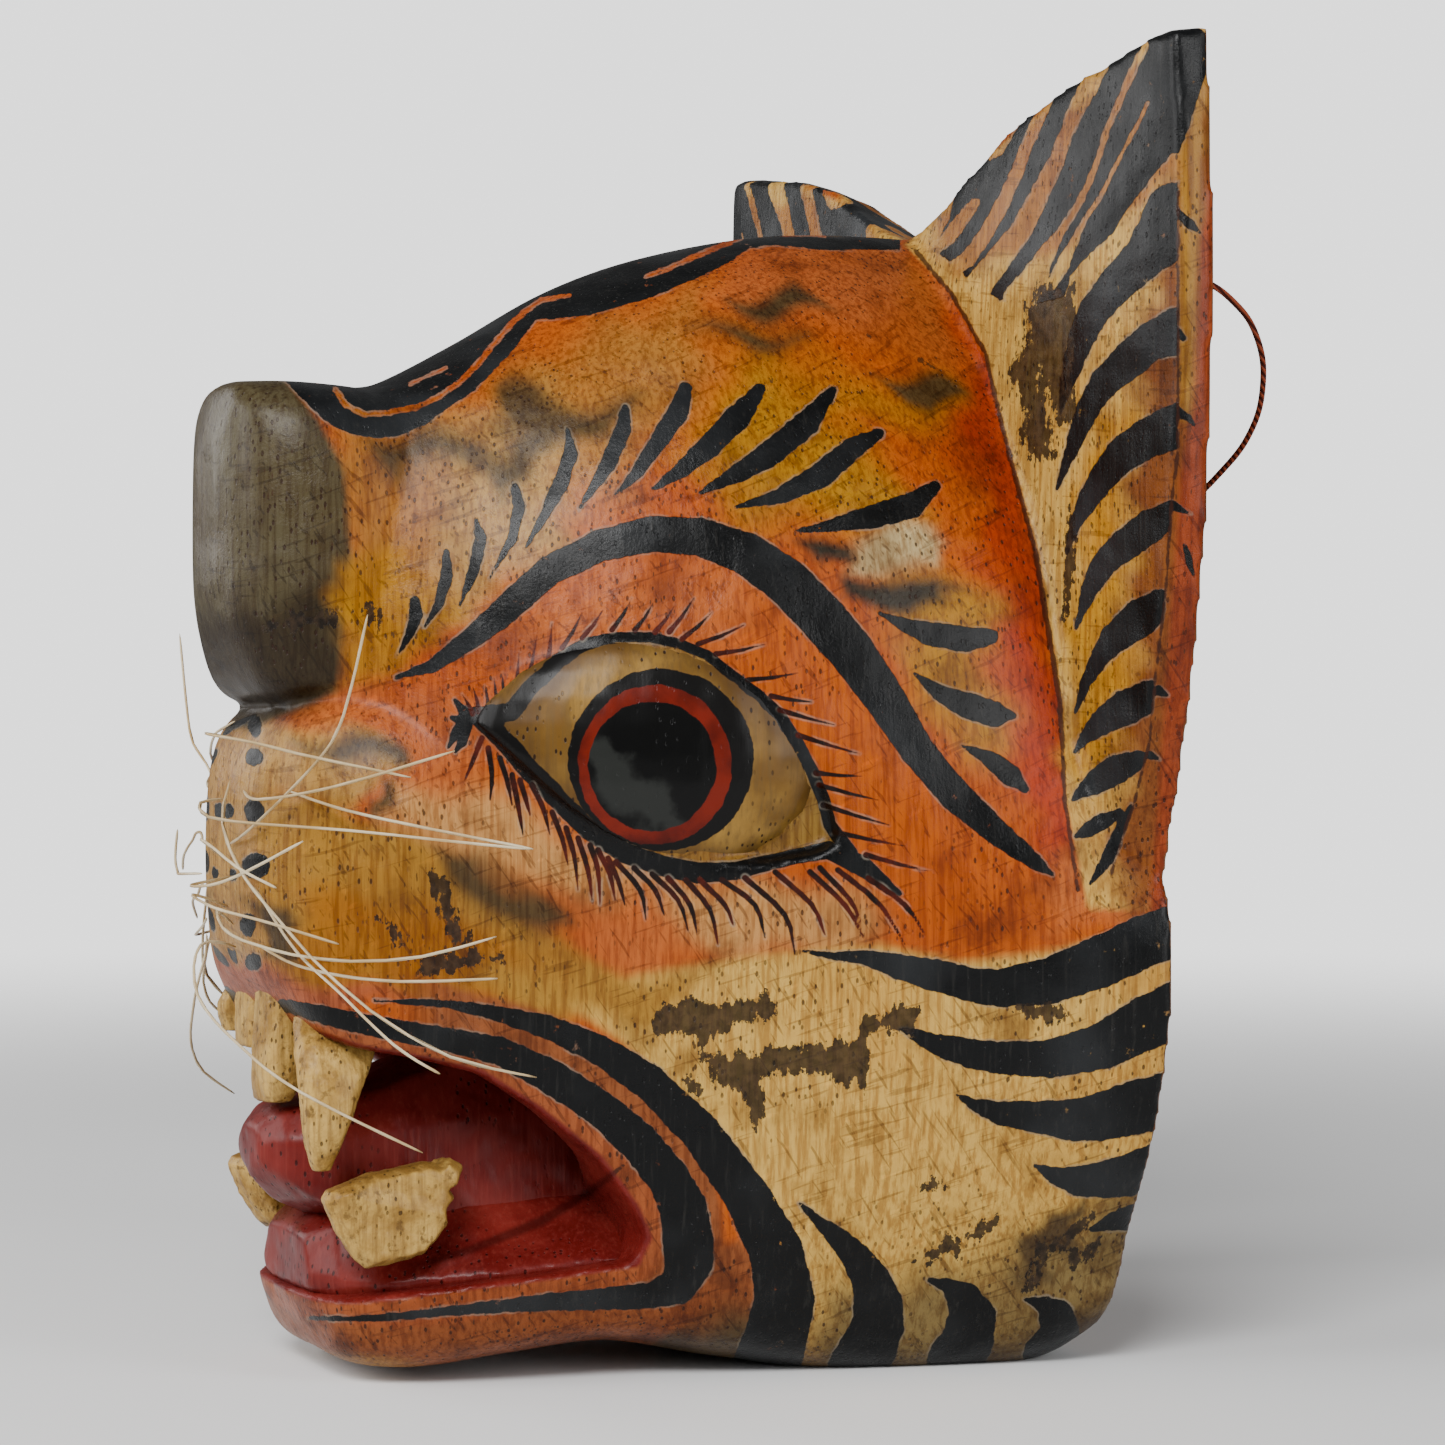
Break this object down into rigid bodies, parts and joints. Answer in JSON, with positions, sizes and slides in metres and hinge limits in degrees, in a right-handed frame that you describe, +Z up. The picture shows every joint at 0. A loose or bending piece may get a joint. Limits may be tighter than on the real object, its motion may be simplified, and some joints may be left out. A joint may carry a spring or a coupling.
{
  "type": "carved wooden tiger mask",
  "caption": "Wall or dance mask carved as a snarling tiger's head, flat and hollowed behind, with wide ears, an open mouth, bristle whiskers and a thin hanging cord.",
  "frame": {"origin": "bottom centre of the box round the mask and its whiskers, on the surface that the mask stands on", "axes": "+Z up to the ears; the tiger looks along -Y and the flat back faces +Y; the tiger's left side is at +X"},
  "size_m": [0.2326, 0.2436, 0.2995],
  "materials": {
    "painted_wood": "hand-painted ochre, orange and cream with black stripes, waxed to a soft gloss",
    "bristle": "stiff natural bristle, pale and slightly see-through",
    "cord_fibre": "thin twisted reddish-brown cord"
  },
  "bodies": {
    "root": {"mask": "painted_wood", "whisker_left_01": "bristle", "whisker_left_02": "bristle", "whisker_left_03": "bristle", "whisker_left_04": "bristle", "whisker_left_05": "bristle", "whisker_left_06": "bristle", "whisker_left_07": "bristle", "whisker_left_08": "bristle", "whisker_left_09": "bristle", "whisker_left_10": "bristle", "whisker_left_11": "bristle", "whisker_left_12": "bristle", "whisker_left_13": "bristle", "whisker_right_01": "bristle", "whisker_right_02": "bristle", "whisker_right_03": "bristle", "whisker_right_04": "bristle", "whisker_right_05": "bristle", "whisker_right_06": "bristle", "whisker_right_07": "bristle", "whisker_right_08": "bristle", "whisker_right_09": "bristle", "whisker_right_10": "bristle", "whisker_right_11": "bristle", "whisker_right_12": "bristle", "whisker_right_13": "bristle", "hanging_cord": "cord_fibre"}
  },
  "joints": []
}
